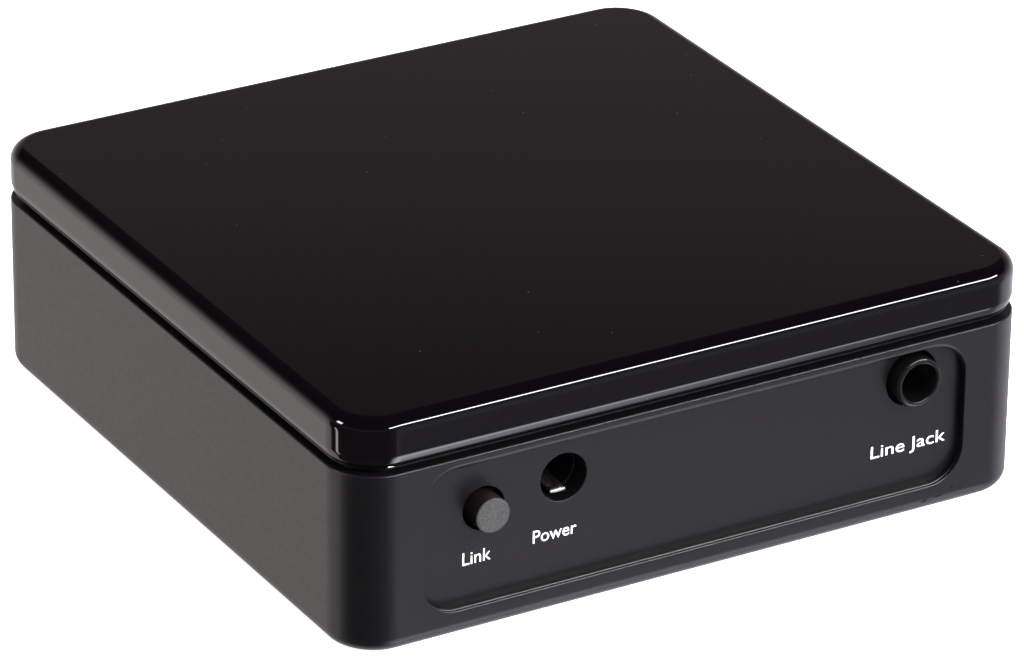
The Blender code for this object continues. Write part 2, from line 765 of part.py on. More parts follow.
def make_switch_dome(axis_at):
    """A thin snap dome on the floor of the switch's well, its crown towards the plunger."""
    rim_r, rise, skin = 1.9 * MM, 0.35 * MM, 0.1 * MM
    sphere_r = (rim_r**2 + rise**2) / (2 * rise)
    floor = -WELL_DEPTH + 0.1 * MM
    steps = 5
    widest = math.asin(rim_r / sphere_r)
    angles = [widest * i / steps for i in range(steps + 1)]
    crown = [(sphere_r * math.sin(a), floor + rise - sphere_r * (1 - math.cos(a))) for a in angles]
    under = [(r, h - skin) for r, h in reversed(crown)]
    turned_piece("pair_switch_dome", crown + under, "spring_metal", BOARD, axis_at, TO_PORTS)


def make_pair_button(x):
    """The plunger: its face stands out of the panel, and its flange stays in the well."""
    flange_r = 2.0 * MM
    flange_front = PANEL_Y - SWITCH_FRONT_Y
    flange_back = flange_front - 0.6 * MM
    nub_end = flange_back - 0.25 * MM
    edge = 0.15 * MM
    outline = (
        (0, BUTTON_OUT),
        (PLUNGER_R - edge, BUTTON_OUT),
        (PLUNGER_R, BUTTON_OUT - edge),
        (PLUNGER_R, flange_front),
        (flange_r, flange_front),
        (flange_r, flange_back),
        (0.8 * MM, flange_back),
        (0.8 * MM, nub_end),
        (0, nub_end),
    )
    at = (x, PANEL_Y, BUTTON_AT[1])
    turned_piece("pair_button", outline, "grained_black", CASE, at, TO_PORTS, FINE_STEPS)


clear_scene()
PIECES = new_collection("audio_receiver")
CUTTERS = new_collection("cutters", hidden=True)
CASE = new_datum("case_datum", FOOT_STAND)
BOARD = new_datum("board_datum", BOARD_TOP, CASE)

make_lower_housing()
make_top_cover()
make_feet()
make_housing_screws()
make_light_pipe()
make_label()
make_board()
make_radio()
make_chips()
make_capacitors()
make_audio_jack()
make_dc_jack()
make_pair_switch()
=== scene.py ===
import math

import bmesh
import bpy
from mathutils import Matrix, Vector


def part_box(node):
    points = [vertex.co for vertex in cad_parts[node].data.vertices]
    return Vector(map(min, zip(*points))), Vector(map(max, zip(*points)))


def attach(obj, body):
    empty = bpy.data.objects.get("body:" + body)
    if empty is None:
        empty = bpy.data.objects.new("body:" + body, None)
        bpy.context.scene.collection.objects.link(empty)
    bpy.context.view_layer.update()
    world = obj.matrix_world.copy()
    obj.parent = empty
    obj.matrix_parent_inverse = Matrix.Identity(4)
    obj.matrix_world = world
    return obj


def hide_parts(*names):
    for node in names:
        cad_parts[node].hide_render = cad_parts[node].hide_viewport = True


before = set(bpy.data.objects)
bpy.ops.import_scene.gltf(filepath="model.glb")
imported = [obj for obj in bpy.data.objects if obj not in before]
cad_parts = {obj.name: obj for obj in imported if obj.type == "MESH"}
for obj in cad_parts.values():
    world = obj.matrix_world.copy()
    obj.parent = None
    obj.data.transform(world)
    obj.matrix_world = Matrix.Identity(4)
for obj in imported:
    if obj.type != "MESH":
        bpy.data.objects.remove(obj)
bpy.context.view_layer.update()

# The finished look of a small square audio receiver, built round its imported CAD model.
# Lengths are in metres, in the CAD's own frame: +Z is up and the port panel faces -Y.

MM = 0.001

# ------------------------------------------------------------------ sizes from the frame

HOUSING_LOW, HOUSING_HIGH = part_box("lower_housing")
COVER_LOW, COVER_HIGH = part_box("top_cover")
BUTTON_LOW, BUTTON_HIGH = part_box("pair_button")
JACK_LOW, JACK_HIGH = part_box("audio_jack_body")
DC_LOW, DC_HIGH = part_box("dc_jack_body")
BOARD_LOW, BOARD_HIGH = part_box("circuit_board")

CASE_HALF = HOUSING_HIGH.x
CASE_BASE = HOUSING_LOW.z
COVER_TOP = COVER_HIGH.z
TONGUE_TOP = HOUSING_HIGH.z
BOARD_TOP = BOARD_HIGH.z

# Casing details: the CAD's own sizes, with finer edges that only the finished pieces have
HOUSING_TOP = CASE_BASE + 18.23 * MM
COVER_LIP = CASE_BASE + 18.71 * MM
HOUSING_CORNER = 4.9 * MM
HOUSING_BOTTOM_ROUND = 1.6 * MM
COVER_CORNER = 5.05 * MM
COVER_TOP_ROUND = 1.4 * MM
COVER_BEVEL_TOP = CASE_BASE + 20.13 * MM
COVER_BEVEL_LOW = CASE_BASE + 19.4 * MM
COVER_BEVEL_TILT = 15
COVER_LIP_ROUND = 0.8 * MM
COVER_BEAD = 0.06 * MM
COVER_RIM_WALL = 0.95 * MM
COVER_RIM_TOP = CASE_BASE + 20.9 * MM
COVER_INNER_WALL = 2.6 * MM
COVER_CEILING = COVER_TOP - 2.0 * MM
TONGUE_INSET = 1.25 * MM
SIDE_WALL = 2.3 * MM
PORT_WALL = 2.78 * MM
FLOOR_TOP = CASE_BASE + 2.0 * MM
PANEL_Y = -CASE_HALF + 0.9 * MM
PANEL_HALF_WIDTH = 29.14 * MM
PANEL_LOW = CASE_BASE + 2.72 * MM
PANEL_HIGH = CASE_BASE + 17.1 * MM
PANEL_CORNER = 3.6 * MM

# Port axes, worked out from the nodes that sit on them
BUTTON_AXIS = ((BUTTON_LOW.x + BUTTON_HIGH.x) / 2, (BUTTON_LOW.z + BUTTON_HIGH.z) / 2)
JACK_AXIS = ((JACK_LOW.x + JACK_HIGH.x) / 2, JACK_HIGH.z - 3.1 * MM)
DC_AXIS = ((DC_LOW.x + DC_HIGH.x) / 2, DC_HIGH.z - 3.84 * MM)
BUTTON_HOLE_R = 2.125 * MM
DC_HOLE_R = 2.4 * MM
JACK_NOSE_R = 2.5 * MM
JACK_BORE_R = 1.8 * MM
JACK_HOLE_R = 2.8 * MM

TO_PORTS = Matrix.Rotation(math.radians(90), 4, "X")
TO_REAR = Matrix.Rotation(math.radians(-90), 4, "X")

# ------------------------------------------------------------------ meshes


def arc(centre, radius, start, end, steps):
    """Points of an arc in a profile's own plane, angles in degrees."""
    angles = [math.radians(start + (end - start) * i / steps) for i in range(steps + 1)]
    return [(centre[0] + radius * math.cos(a), centre[1] + radius * math.sin(a)) for a in angles]


def square_ring(low_x, high_x, low_y, high_y, radius, z, steps=16):
    """A rectangle with round corners, as a ring of points at one height."""
    centres = (
        (high_x - radius, high_y - radius, 0),
        (low_x + radius, high_y - radius, 90),
        (low_x + radius, low_y + radius, 180),
        (high_x - radius, low_y + radius, 270),
    )
    ring = []
    for x, y, start in centres:
        ring += [(a, b, z) for a, b in arc((x, y), radius, start, start + 90, steps)]
    return ring


def loft(rings):
    """A closed skin through rings of equally many points, with a cap on each end."""
    bm = bmesh.new()
    rows = [[bm.verts.new(p) for p in ring] for ring in rings]
    count = len(rows[0])
    for a, b in zip(rows, rows[1:]):
        for i in range(count):
            j = (i + 1) % count
            bm.faces.new((a[i], a[j], b[j], b[i]))
    bm.faces.new(reversed(rows[0]))
    bm.faces.new(rows[-1])
    bmesh.ops.recalc_face_normals(bm, faces=bm.faces)
    return bm


def turned(profile, steps=64):
    """A skin turned about Z from (radius, height) points, both ends on the axis."""
    bm = bmesh.new()
    rows = []
    for radius, height in profile:
        if radius < 1e-7:
            rows.append([bm.verts.new((0, 0, height))] * steps)
            continue
        row = []
        for i in range(steps):
            a = math.tau * i / steps
            row.append(bm.verts.new((radius * math.cos(a), radius * math.sin(a), height)))
        rows.append(row)
    for a, b in zip(rows, rows[1:]):
        for i in range(steps):
            j = (i + 1) % steps
            corners = list(dict.fromkeys((a[i], a[j], b[j], b[i])))
            if len(corners) > 2:
                bm.faces.new(corners)
    bmesh.ops.recalc_face_normals(bm, faces=bm.faces)
    return bm


def box(low, high, bevel=0.0, steps=2):
    bm = bmesh.new()
    bmesh.ops.create_cube(bm, size=1.0)
    size = Vector(high) - Vector(low)
    bmesh.ops.scale(bm, vec=size, verts=bm.verts)
    bmesh.ops.translate(bm, vec=(Vector(low) + Vector(high)) / 2, verts=bm.verts)
    if bevel > 0:
        bmesh.ops.bevel(
            bm,
            geom=bm.edges[:],
            offset=bevel,
            offset_type="OFFSET",
            segments=steps,
            profile=0.5,
            affect="EDGES",
        )
    return bm


def placed(bm, matrix=None, at=(0, 0, 0)):
    """Turns and then moves a mesh that is being built."""
    bmesh.ops.transform(bm, matrix=Matrix.Translation(at) @ (matrix or Matrix.Identity(4)), verts=bm.verts)
    return bm


def gathered(parts):
    """Several meshes as one."""
    whole = bmesh.new()
    for part in parts:
        mesh = bpy.data.meshes.new("part")
        part.to_mesh(mesh)
        part.free()
        whole.from_mesh(mesh)
        bpy.data.meshes.remove(mesh)
    return whole


def link(name, bm):
    mesh = bpy.data.meshes.new(name)
    bm.to_mesh(mesh)
    bm.free()
    obj = bpy.data.objects.new(name, mesh)
    bpy.context.scene.collection.objects.link(obj)
    return obj


def carve(obj, bm, operation="DIFFERENCE"):
    """Cuts a shape from an object, or adds it, and keeps the result as plain mesh."""
    tool = link("tool", bm)
    boolean = obj.modifiers.new("carve", "BOOLEAN")
    boolean.operation = operation
    boolean.solver = "EXACT"
    boolean.object = tool
    bpy.context.view_layer.update()
    graph = bpy.context.evaluated_depsgraph_get()
    made = bpy.data.meshes.new_from_object(obj.evaluated_get(graph))
    obj.modifiers.clear()
    obj.data = made
    bpy.data.objects.remove(tool)


def smooth(obj, angle=42):
    """Soft shading over rounded edges, with flat faces kept truly flat."""
    obj.data.shade_smooth()
    obj.data.set_sharp_from_angle(angle=math.radians(angle))
    weighted = obj.modifiers.new("flat_faces_flat", "WEIGHTED_NORMAL")
    weighted.keep_sharp = True
    weighted.weight = 80
    return obj


def dress(obj, material, body, slot, *nodes):
    """Gives a piece its material, its body and the CAD nodes that it stands for; the slot argument is not
    used.
    """
    obj.data.materials.clear()
    obj.data.materials.append(material)
    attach(obj, body)
    if nodes:
        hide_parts(*nodes)
    return obj


# ------------------------------------------------------------------ material nodes


class Look:
    """A Principled material with helpers that add procedural detail, in millimetre space."""

    def __init__(self, name, colour, roughness, metallic=0.0, ior=1.5):
        self.material = bpy.data.materials.new(name)
        self.material.use_nodes = True
        self.tree = self.material.node_tree
        self.shader = self.tree.nodes["Principled BSDF"]
        self.set("Base Color", (*colour, 1.0))
        self.set("Roughness", roughness)
        self.set("Metallic", metallic)
        self.set("IOR", ior)
        coordinates = self.tree.nodes.new("ShaderNodeTexCoord")
        scale = self.tree.nodes.new("ShaderNodeVectorMath")
        scale.operation = "SCALE"
        scale.inputs["Scale"].default_value = 1 / MM
        self.tree.links.new(coordinates.outputs["Object"], scale.inputs[0])
        self.mm = scale.outputs[0]

    def set(self, name, value):
        target = self.shader.inputs[name]
        if hasattr(value, "is_linked"):
            self.tree.links.new(value, target)
        else:
            target.default_value = value

    def feed(self, socket, value):
        if hasattr(value, "is_linked"):
            self.tree.links.new(value, socket)
        else:
            socket.default_value = value

    def noise(self, size, detail=2.0, roughness=0.5):
        """Noise whose features are about `size` millimetres across."""
        node = self.tree.nodes.new("ShaderNodeTexNoise")
        node.inputs["Scale"].default_value = 1 / size
        node.inputs["Detail"].default_value = detail
        node.inputs["Roughness"].default_value = roughness
        self.tree.links.new(self.mm, node.inputs["Vector"])
        return node.outputs["Fac"]

    def axes(self):
        """X, Y and Z in millimetres."""
        node = self.tree.nodes.new("ShaderNodeSeparateXYZ")
        self.tree.links.new(self.mm, node.inputs[0])
        return node.outputs

    def cells(self, size, randomness=1.0):
        """Distance to the nearest of many points about `size` millimetres apart."""
        node = self.tree.nodes.new("ShaderNodeTexVoronoi")
        node.inputs["Scale"].default_value = 1 / size
        node.inputs["Randomness"].default_value = randomness
        self.tree.links.new(self.mm, node.inputs["Vector"])
        return node.outputs["Distance"]

    def ranged(self, value, low, high, to_low, to_high):
        """Maps low..high to to_low..to_high, with soft ends, and clamps."""
        node = self.tree.nodes.new("ShaderNodeMapRange")
        node.interpolation_type = "SMOOTHSTEP"
        self.tree.links.new(value, node.inputs["Value"])
        for name, number in (("From Min", low), ("From Max", high), ("To Min", to_low), ("To Max", to_high)):
            node.inputs[name].default_value = number
        return node.outputs["Result"]

    def maths(self, operation, a, b=0.0):
        node = self.tree.nodes.new("ShaderNodeMath")
        node.operation = operation
        self.feed(node.inputs[0], a)
        self.feed(node.inputs[1], b)
        return node.outputs[0]

    def mix(self, share, a, b):
        node = self.tree.nodes.new("ShaderNodeMix")
        node.data_type = "RGBA"
        self.feed(node.inputs["Factor"], share)
        self.feed(node.inputs[6], a)
        self.feed(node.inputs[7], b)
        return node.outputs[2]

    def bump(self, height, depth, strength=1.0, under=None):
        """Relief `depth` millimetres deep."""
        node = self.tree.nodes.new("ShaderNodeBump")
        node.inputs["Strength"].default_value = strength
        node.inputs["Distance"].default_value = depth * MM
        self.tree.links.new(height, node.inputs["Height"])
        if under is not None:
            self.tree.links.new(under, node.inputs["Normal"])
        return node.outputs["Normal"]


# Each scuff's middle and half-size on the port face, in millimetres: x, z, half x, half z
SCUFFS = ((26.6, 2.3, 0.8, 0.26), (25.0, 2.1, 0.6, 0.2), (28.0, 2.9, 0.6, 0.18), (28.9, 2.8, 0.5, 0.16))


def gloss_black():
    """Polished acrylic: a very slight waviness, and a few grains of dust."""
    look = Look("gloss_black", (0.0011, 0.0008, 0.0012), 0.03)
    grain = look.ranged(look.cells(2.6), 0.015, 0.04, 1.0, 0.0)
    chosen = look.ranged(look.noise(5.0, 1.0), 0.5, 0.54, 0.0, 1.0)
    dust = look.maths("MULTIPLY", grain, chosen)
    look.set("Base Color", look.mix(dust, (0.0011, 0.0008, 0.0012, 1), (0.05, 0.048, 0.05, 1)))
    look.set("Roughness", look.maths("ADD", look.maths("MULTIPLY", dust, 0.5), 0.03))
    look.set("Normal", look.bump(look.noise(14.0, 1.0), 0.004, 0.5))
    return look.material


def satin_black():
    """Fine moulded grain with pale specks, and a few scuffs low at the right of the port face."""
    look = Look("satin_black", (0.0024, 0.0018, 0.0024), 0.42, ior=1.55)
    specks = look.ranged(look.cells(1.0), 0.03, 0.08, 1.0, 0.0)
    scuffs = scuff_marks(look)
    look.set("Base Color", look.mix(specks, (0.0024, 0.0018, 0.0024, 1), (0.02, 0.019, 0.019, 1)))
    roughness = look.ranged(look.noise(0.4, 4.0, 0.7), 0.3, 0.7, 0.37, 0.44)
    look.set("Roughness", look.maths("ADD", roughness, look.maths("MULTIPLY", scuffs, 0.4)))
    grain = look.bump(look.noise(0.25, 4.0, 0.7), 0.018, 0.5)
    look.set("Normal", look.bump(look.maths("SUBTRACT", 0.0, scuffs), 0.12, 1.0, under=grain))
    return look.material


def scuff_marks(look):
    """Small ragged dents on the port face."""
    axes = look.axes()
    wall = -CASE_HALF / MM
    on_face = look.ranged(axes["Y"], wall + 0.05, wall + 0.2, 1.0, 0.0)
    ragged = look.maths("MULTIPLY", look.noise(0.3, 3.0, 0.6), 1.6)
    total = 0.0
    for x, z, half_x, half_z in SCUFFS:
        across = look.maths("DIVIDE", look.maths("SUBTRACT", axes["X"], x), half_x)
        up = look.maths("DIVIDE", look.maths("SUBTRACT", axes["Z"], z), half_z)
        reach = look.maths("ADD", look.maths("POWER", across, 2.0), look.maths("POWER", up, 2.0))
        mark = look.ranged(look.maths("ADD", reach, ragged), 0.9, 1.5, 1.0, 0.0)
        total = look.maths("MAXIMUM", total, mark)
    return look.maths("MULTIPLY", total, on_face)


def grained_black():
    """Spark-eroded grain, greyed on the pressed face by wear, with painted shade darkening the shank behind
    it.
    """
    look = Look("grained_black", (0.07, 0.07, 0.075), 0.7)
    grains = look.ranged(look.noise(0.2, 3.0, 0.75), 0.4, 0.62, 0.0, 1.0)
    face = look.mix(grains, (0.03, 0.03, 0.031, 1), (0.052, 0.052, 0.054, 1))
    tip = BUTTON_LOW.y / MM
    # Painted shade: from just behind the face, the shank is coloured a dark brownish black.
    depth = look.ranged(look.axes()["Y"], tip + 0.08, tip + 0.3, 0.0, 1.0)
    look.set("Base Color", look.mix(depth, face, (0.005, 0.0038, 0.0034, 1)))
    look.set("Roughness", look.maths("SUBTRACT", 0.72, look.maths("MULTIPLY", depth, 0.3)))
    look.set("Normal", look.bump(look.noise(0.1, 3.0, 0.7), 0.03, 0.8))
    return look.material


def jack_black():
    """Smooth moulded plastic, with painted shade deep inside the audio socket's bore, where its reflection
    is turned down.
    """
    look = Look("jack_black", (0.003, 0.003, 0.0032), 0.2)
    look.set("Roughness", look.ranged(look.noise(0.8, 3.0), 0.3, 0.7, 0.16, 0.26))
    axes = look.axes()
    tip = JACK_LOW.y / MM
    across = look.maths("POWER", look.maths("SUBTRACT", axes["X"], JACK_AXIS[0] / MM), 2.0)
    up = look.maths("POWER", look.maths("SUBTRACT", axes["Z"], JACK_AXIS[1] / MM), 2.0)
    outside = look.ranged(look.maths("ADD", across, up), 3.5, 3.7, 0.0, 1.0)
    shallow = look.ranged(axes["Y"], tip + 0.5, tip + 1.2, 1.0, 0.0)
    # Painted shade: deep inside the bore the reflection is cut to a tenth of the outside's.
    look.set("Specular IOR Level", look.ranged(look.maths("MAXIMUM", outside, shallow), 0.0, 1.0, 0.05, 0.5))
    return look.material


def rubber():
    look = Look("foot_rubber", (0.012, 0.012, 0.0125), 0.8)
    look.set("Normal", look.bump(look.noise(0.15, 2.0), 0.02, 0.6))
    return look.material


def metal(name, colour, roughness):
    look = Look(name, colour, roughness, metallic=1.0)
    streaks = look.noise(0.4, 3.0, 0.6)
    look.set("Roughness", look.ranged(streaks, 0.3, 0.7, roughness * 0.7, roughness * 1.4))
    return look.material


def ink():
    look = Look("legend_ink", (0.88, 0.88, 0.88), 0.45)
    look.set("Base Color", look.mix(look.noise(0.3, 2.0), (0.84, 0.84, 0.84, 1), (0.92, 0.92, 0.92, 1)))
    return look.material


def clear_lens():
    look = Look("clear_lens", (0.8, 0.85, 0.9), 0.06)
    look.set("Transmission Weight", 0.7)
    look.set("Roughness", look.ranged(look.noise(0.6, 2.0), 0.3, 0.7, 0.04, 0.09))
    return look.material


def label_film():
    look = Look("label_film", (0.12, 0.12, 0.123), 0.42)
    look.set("Roughness", look.ranged(look.noise(1.2, 3.0), 0.3, 0.7, 0.36, 0.5))
    look.set("Normal", look.bump(look.noise(0.12, 2.0), 0.004, 0.5))
    return look.material


def board_green():
    look = Look("board_green", (0.01, 0.12, 0.05), 0.3)
    tracks = look.ranged(look.cells(1.6, 0.4), 0.25, 0.4, 0.0, 1.0)
    look.set("Base Color", look.mix(tracks, (0.012, 0.16, 0.07, 1), (0.006, 0.09, 0.035, 1)))
    return look.material


def speckled(name, colour, roughness, size=0.5):
    look = Look(name, colour, roughness)
    dark = (*[c * 0.8 for c in colour], 1)
    light = (*[min(1, c * 1.2) for c in colour], 1)
    look.set("Base Color", look.mix(look.noise(size, 3.0), dark, light))
    look.set("Normal", look.bump(look.noise(size * 0.4, 2.0), 0.01, 0.5))
    return look.material


GLOSS = gloss_black()
SATIN = satin_black()
GRAINED = grained_black()
JACK = jack_black()
RUBBER = rubber()
STEEL = metal("screw_steel", (0.55, 0.55, 0.56), 0.32)
SPRING = metal("spring_metal", (0.78, 0.76, 0.72), 0.2)
LEAF = metal("socket_leaf", (0.34, 0.33, 0.32), 0.36)
BRASS = metal("brass_pin", (0.8, 0.62, 0.3), 0.22)
CAN = metal("can_metal", (0.7, 0.7, 0.72), 0.3)
INK = ink()
LENS = clear_lens()
LABEL = label_film()
BOARD = board_green()
CHIP = speckled("chip_black", (0.015, 0.015, 0.017), 0.5)
CERAMIC = speckled("ceramic_beige", (0.5, 0.41, 0.29), 0.45, 0.3)
LED = speckled("led_body", (0.82, 0.82, 0.78), 0.3)

# ------------------------------------------------------------------ pieces


def case_ring(inset, z, corner):
    half = CASE_HALF - inset
    return square_ring(-half, half, -half, half, max(corner - inset, 0.5 * MM), z)


def middles(stem, count):
    """Where numbered nodes stand in plan."""
    places = []
    for i in range(1, count + 1):
        low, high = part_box(f"{stem}_{i}")
        places.append(((low.x + high.x) / 2, (low.y + high.y) / 2))
    return places


def rod(radius, low, high, x, y, steps=48):
    return placed(turned([(0, low), (radius, low), (radius, high), (0, high)], steps), at=(x, y, 0))


def cover_side():
    """The cap's side in profile: shoulder, wall, slight bevel, the curl under it and a fine bead."""
    shoulder, blend, lip, tilt = COVER_TOP_ROUND, 1.2 * MM, COVER_LIP_ROUND, COVER_BEVEL_TILT
    outline = arc((shoulder, COVER_TOP - shoulder), shoulder, 90, 180, 14)
    outline += arc((blend, COVER_BEVEL_TOP), blend, 180, 180 + tilt, 4)
    inset, height = outline[-1]
    inset += (height - COVER_BEVEL_LOW) * math.tan(math.radians(tilt))
    along, down = lip * math.cos(math.radians(tilt)), lip * math.sin(math.radians(tilt))
    outline += arc((inset + along, COVER_BEVEL_LOW + down), lip, 180 + tilt, 240, 8)
    inset, height = outline[-1]
    return outline + arc((inset, height - 0.13 * MM), COVER_BEAD, 140, 270, 8)


def make_cover():
    """The polished cap, with the stepped hollow and the screw posts inside."""
    outline = cover_side()
    outline += [
        (COVER_RIM_WALL, COVER_LIP),
        (COVER_RIM_WALL, COVER_RIM_TOP),
        (COVER_INNER_WALL, COVER_RIM_TOP),
        (COVER_INNER_WALL, COVER_CEILING),
    ]
    cover = link("cover_shell", loft([case_ring(inset, z, COVER_CORNER) for inset, z in outline]))
    low, high = COVER_LOW.z, COVER_CEILING + 1 * MM
    places = middles("housing_screw", 4)
    posts = [rod(2.6 * MM, low, high, x, y) for x, y in places]
    screw_holes = [rod(1.3 * MM, low - 1 * MM, low + 6.5 * MM, x, y) for x, y in places]
    carve(cover, gathered(posts), "UNION")
    carve(cover, gathered(screw_holes))
    return dress(smooth(cover), GLOSS, "case", "cover_gloss", "top_cover")


def flared_hole(radius, flare, depth, x, z, steps=64):
    """A cutter for a round hole in the panel whose outer edge is slightly rounded."""
    rounding = arc((radius + flare, -flare), flare, 180, 100, 5)
    profile = [(0, -depth), (radius, -depth)] + rounding
    profile += [(rounding[-1][0], 0.6 * MM), (0, 0.6 * MM)]
    return placed(turned(profile, steps), TO_PORTS, (x, PANEL_Y, z))


# Depths below the face, in millimetres, at which the recess's walls change slope
RECESS_LEVELS = (0.45, 0.366, 0.313, 0.2, 0.1, 0.053, 0.02, 0)


def recess_cutter():
    """The sunk panel: plain side walls, a lower wall in two bevelled steps, and a soft upper edge."""
    depth = PANEL_Y + CASE_HALF
    half_x, half_z = PANEL_HALF_WIDTH, (PANEL_HIGH - PANEL_LOW) / 2
    rings = []
    for sunk in (depth, *[d * MM for d in RECESS_LEVELS], -1 * MM):
        side = rounded_back(sunk, 0.1 * MM, 0.1 * MM)
        low_z = -half_z - stepped_back(sunk)
        high_z = half_z + rounded_back(sunk, 0.6 * MM, 0.45 * MM)
        rings.append(
            square_ring(-half_x - side, half_x + side, low_z, high_z, PANEL_CORNER + side, depth - sunk, 14)
        )
    return placed(loft(rings), TO_PORTS, (0, PANEL_Y, (PANEL_HIGH + PANEL_LOW) / 2))


def rounded_back(sunk, reach, deep):
    """How far an edge is rounded back at a depth below the face: `reach` at the face, none at `deep`."""
    share = min(1.0, max(0.0, (deep - sunk) / deep))
    return reach * (1 - math.sqrt(1 - share**2))


def stepped_back(sunk):
    """The lower wall's place at a depth below the face: two short bevels with flats between."""
    bevel = 0.085 * MM
    upper = min(1.0, max(0.0, (0.053 * MM - sunk) / (0.053 * MM)))
    lower = min(1.0, max(0.0, (sunk - 0.313 * MM) / (0.053 * MM)))
    return bevel * (upper - lower)


def underside_pocket(x, y):
    """Room for one foot, the screw's head above it and its shank."""
    base = CASE_BASE
    profile = [
        (0, base - 1 * MM),
        (3.9 * MM, base - 1 * MM),
        (3.9 * MM, base + 0.7 * MM),
        (2.3 * MM, base + 0.7 * MM),
        (2.3 * MM, base + 2.6 * MM),
        (1.3 * MM, base + 2.6 * MM),
        (1.3 * MM, base + 13 * MM),
        (0, base + 13 * MM),
    ]
    return placed(turned(profile, 48), at=(x, y, 0))


def make_housing():
    """The satin box: foot, wall, step for the shadow gap, tongue, and the hollow inside."""
    r_low, r_top = HOUSING_BOTTOM_ROUND, 0.2 * MM
    outline = arc((r_low, CASE_BASE + r_low), r_low, 270, 180, 10)
    outline += arc((r_top, HOUSING_TOP - r_top), r_top, 180, 90, 5)
    outline += [(TONGUE_INSET, HOUSING_TOP), (TONGUE_INSET, TONGUE_TOP)]
    rings = [case_ring(inset, z, HOUSING_CORNER) for inset, z in outline]
    inner = CASE_HALF - SIDE_WALL
    for z in (TONGUE_TOP, FLOOR_TOP):
        port_wall = -CASE_HALF + PORT_WALL
        rings.append(square_ring(-inner, inner, port_wall, inner, HOUSING_CORNER - SIDE_WALL, z))
    housing = link("housing_shell", loft(rings))
    corners, board_screws = middles("housing_screw", 4), middles("board_screw", 3)
    foot = CASE_BASE + 1 * MM
    posts = [rod(2.9 * MM, foot, CASE_BASE + 12 * MM, x, y) for x, y in corners]
    posts += [rod(2.4 * MM, foot, BOARD_LOW.z - 0.3 * MM, x, y) for x, y in board_screws]
    carve(housing, gathered(posts), "UNION")
    cutters = [underside_pocket(x, y) for x, y in corners]
    cutters += [rod(1.15 * MM, FLOOR_TOP, BOARD_LOW.z, x, y) for x, y in board_screws]
    cutters.append(label_pocket())
    carve(housing, gathered(cutters))
    carve(housing, recess_cutter())
    holes = [
        flared_hole(BUTTON_HOLE_R, 0.12 * MM, 3 * MM, *BUTTON_AXIS),
        flared_hole(DC_HOLE_R, 0.12 * MM, 3 * MM, *DC_AXIS),
        flared_hole(JACK_HOLE_R, 0.1 * MM, 3 * MM, *JACK_AXIS),
        light_hole(),
    ]
    carve(housing, gathered(holes))
    return dress(smooth(housing), SATIN, "case", "housing_satin", "lower_housing")


def label_pocket():
    """A shallow pocket under the case, a little larger all round than the label in it."""
    low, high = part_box("rating_label")
    gap = 0.3 * MM
    sides = (low.x - gap, high.x + gap, low.y - gap, high.y + gap)
    return loft([square_ring(*sides, 1.5 * MM, z, 8) for z in (CASE_BASE - 1 * MM, CASE_BASE + 0.5 * MM)])


def light_hole():
    low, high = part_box("status_light_pipe")
    z = (low.z + high.z) / 2
    radius, flare = 1.15 * MM, 0.1 * MM
    rounding = arc((radius + flare, -flare), flare, 180, 100, 4)
    profile = [(0, -4 * MM), (radius, -4 * MM)] + rounding + [(rounding[-1][0], 1 * MM), (0, 1 * MM)]
    return placed(turned(profile, 48), TO_REAR, (0, CASE_HALF, z))


def make_button():
    """The plunger: a softly rounded face, a straight shank and the flange that keeps it in."""
    out = PANEL_Y - BUTTON_LOW.y
    r, edge = 1.725 * MM, 0.16 * MM
    flange_front = PANEL_Y + 32.3 * MM
    back = PANEL_Y - BUTTON_HIGH.y
    profile = [(0, out), (0.8 * r, out - 0.005 * MM)]
    profile += arc((r - edge, out - edge - 0.01 * MM), edge, 88, 0, 6)
    profile += [
        (r, flange_front),
        (2.0 * MM, flange_front),
        (2.0 * MM, flange_front - 0.6 * MM),
        (0.8 * MM, flange_front - 0.6 * MM),
        (0.8 * MM, back),
        (0, back),
    ]
    x, z = BUTTON_AXIS
    button = link("pair_plunger", placed(turned(profile), TO_PORTS, (x, PANEL_Y, z)))
    return dress(smooth(button), GRAINED, "button", "button_plastic", "pair_button")


def make_audio_jack():
    """The socket: a rounded nose ring with a bell-shaped mouth, and the body behind the panel."""
    x, z = JACK_AXIS
    tip_y, body_y = JACK_LOW.y, -CASE_HALF + PORT_WALL + 0.3 * MM
    body = link("audio_jack_shell", box((JACK_LOW.x, body_y, JACK_LOW.z), JACK_HIGH, 0.3 * MM, 3))
    r, edge = JACK_NOSE_R, 0.3 * MM
    nose_end = -(body_y - tip_y) - 1 * MM
    profile = [(0, 0), (r - edge, 0)] + arc((r - edge, -edge), edge, 90, 0, 6)[1:]
    profile += [(r, nose_end), (0, nose_end)]
    carve(body, placed(turned(profile), TO_PORTS, (x, tip_y, z)), "UNION")
    flare, mouth = 0.14 * MM, 0.14 * MM
    curve = arc((JACK_BORE_R + flare + mouth, -mouth), mouth, 180, 100, 6)
    profile = [(0, -12.6 * MM), (JACK_BORE_R, -12.6 * MM), (JACK_BORE_R, -0.9 * MM)] + curve
    profile += [(curve[-1][0], 1 * MM), (0, 1 * MM)]
    carve(body, placed(turned(profile), TO_PORTS, (x, tip_y, z)))
    slots = []
    for name in ("tip", "ring"):
        low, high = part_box(f"jack_{name}_spring")
        front, back = (low.y + high.y) / 2 - 1.3 * MM, (low.y + high.y) / 2 + 1.3 * MM
        outer = -4 * MM if high.x < x else 4 * MM
        left, right = sorted((x + outer, x + math.copysign(1.4 * MM, outer)))
        slots.append(box((left, front, BOARD_TOP), (right, back, BOARD_TOP + 8.3 * MM)))
    slots.append(box((x - 1.25 * MM, body_y + 0.55 * MM, BOARD_TOP), (x + 1.25 * MM, body_y + 2.3 * MM, z)))
    carve(body, gathered(slots))
    return dress(smooth(body), JACK, "case", "jack_plastic", "audio_jack_body")


